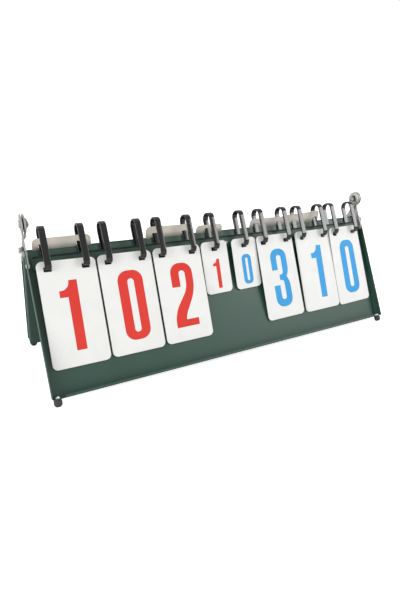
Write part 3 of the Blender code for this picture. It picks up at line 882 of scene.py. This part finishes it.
def spun(profile, steps=32):
    """Spins a profile in millimetres round the Z axis into a closed shape."""
    made = bmesh.new()
    verts = [made.verts.new((radius * mm, 0.0, height * mm)) for radius, height in profile]
    edges = [made.edges.new(pair) for pair in zip(verts, verts[1:])]
    if profile[0][0] > 0 and profile[-1][0] > 0:
        edges.append(made.edges.new((verts[-1], verts[0])))
    bmesh.ops.spin(made, geom=verts + edges, cent=(0.0, 0.0, 0.0), axis=(0.0, 0.0, 1.0),
                   angle=2 * pi, steps=steps, use_merge=True)
    bmesh.ops.remove_doubles(made, verts=made.verts, dist=merge_reach)
    bmesh.ops.recalc_face_normals(made, faces=made.faces)
    return made


# %% [markdown]
# Each end hinge is closed inside by a three-lobed nut over a dished washer. The nut is a star
# outline with rounded tips: two corners for each lobe and one for the waist between two lobes.

# %% Lobed nut
lobes = 3
lobe_reach = 6.6 * mm
lobe_half = 1.6 * mm
lobe_rounding = 0.9 * lobe_half
waist_radius = 3.0 * mm
waist_rounding = 0.5 * mm
nut_thickness = 3.2 * mm


def lobed_nut():
    """A flat star with rounded lobes."""
    corners = []
    for lobe in range(lobes):
        angle = 2 * pi * lobe / lobes
        tip = Vector((cos(angle), sin(angle)))
        beside = Vector((-sin(angle), cos(angle)))
        for hand in (-1.0, 1.0):
            spot = tip * lobe_reach + beside * hand * lobe_half
            corners.append((spot.x, spot.y, lobe_rounding))
        between = angle + pi / lobes
        corners.append((cos(between) * waist_radius, sin(between) * waist_radius, waist_rounding))
    return flat_shape([corners], nut_thickness)


# %% [markdown]
# The nut and its washer sit on the inner face of the hinge, with the bolt's domed end coming
# through the nut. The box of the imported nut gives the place, and a quarter turn points the
# axis inwards, so the left and the right hinge mirror each other.

# %% Hinge nuts and washers
washer_profile = [(5.9, 0.05), (10.9, 0.05), (10.9, 0.5), (10.2, 0.9), (7.6, 1.5), (5.9, 1.5)]
cap_profile = [(0.0, 3.9), (1.4, 3.7), (2.3, 3.1), (2.5, 2.4), (2.5, 0.0), (0.0, 0.0)]
washer_steps = 40
cap_steps = 24
for name, side in ends.items():
    low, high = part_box(f"pivot_nut_{name}")
    seat = high[0] if side > 0 else low[0]
    inward = (Matrix.Translation((seat, (low[1] + high[1]) / 2, (low[2] + high[2]) / 2))
              @ Matrix.Rotation(-side * pi / 2, 4, "Y"))
    add_piece(f"dished_washer_{name}", spun(washer_profile, washer_steps), nickel, "front", inward)
    nut = lobed_nut()
    cap = spun(cap_profile, cap_steps)
    add_copy(nut, cap)
    cap.free()
    lobe_turn = Matrix.Rotation((1 - side) * pi / 2, 4, "Z")
    add_piece(f"lobed_nut_{name}", nut, dark_steel, "front", inward @ lobe_turn,
              (f"pivot_nut_{name}",))
    print("hinge", name, "seat at x in mm:", round(seat / mm, 1))

# %% [markdown]
# Each foot is a soft rubber dome on the tray's lower flange. It is one profile, widest in the
# middle and round below, where the rubber meets the table.

# %% Feet
foot_across = 293.5 * mm
foot_out = 5.8 * mm
foot_profile = [(0.0, 0.0), (4.8, 0.0), (5.2, 1.5), (5.4, 3.9), (5.2, 6.2), (4.4, 8.2), (2.8, 9.6),
                (0.0, 9.9)]


def foot_spot(place, side, turn):
    """The middle of a foot on a tray, with the axis turned up or down along the face."""
    return (place @ Matrix.Translation((side * foot_across, 0.0, foot_out))
            @ Matrix.Rotation(turn, 4, "X"))


for tray, place in tray_frames.items():
    for name, side in ends.items():
        add_piece(f"{tray}_dome_foot_{name}", spun(foot_profile), rubber, tray,
                  foot_spot(place, side, pi / 2), (f"{tray}_foot_{name}",))
print("rubber feet:", len(tray_frames) * len(ends))

# %% [markdown]
# The feet are screwed through the lower flange. A pan head with a cross in it is a spun
# profile, with two thin black bars let into its flat top as painted shade for the cross recess.
# Cutting the recess out would cost more faces and show no more at this size.

# %% Foot screws
head_profile = [(0.0, 4.2), (1.8, 4.1), (3.0, 3.7), (3.8, 2.8), (3.9, 1.9), (3.8, 1.1), (1.9, 1.1),
                (1.9, -6.8), (0.0, -6.8)]
head_steps = 28
bar_corners = ((-1.7, -0.3, 3.4), (1.7, 0.3, 4.17))
for tray, place in tray_frames.items():
    for name, side in ends.items():
        spot = foot_spot(place, side, -pi / 2)
        add_piece(f"{tray}_pan_screw_{name}", spun(head_profile, head_steps), zinc, tray, spot,
                  (f"{tray}_foot_screw_{name}",))
        # The black cross bars are painted shade standing for the recess.
        bars = block(*bar_corners)
        crossing = bars.copy()
        add_copy(bars, crossing, Matrix.Rotation(pi / 2, 4, "Z"))
        crossing.free()
        add_piece(f"{tray}_screw_cross_{name}", bars, shade_black, tray, spot)
print("foot screws:", len(tray_frames) * len(ends))
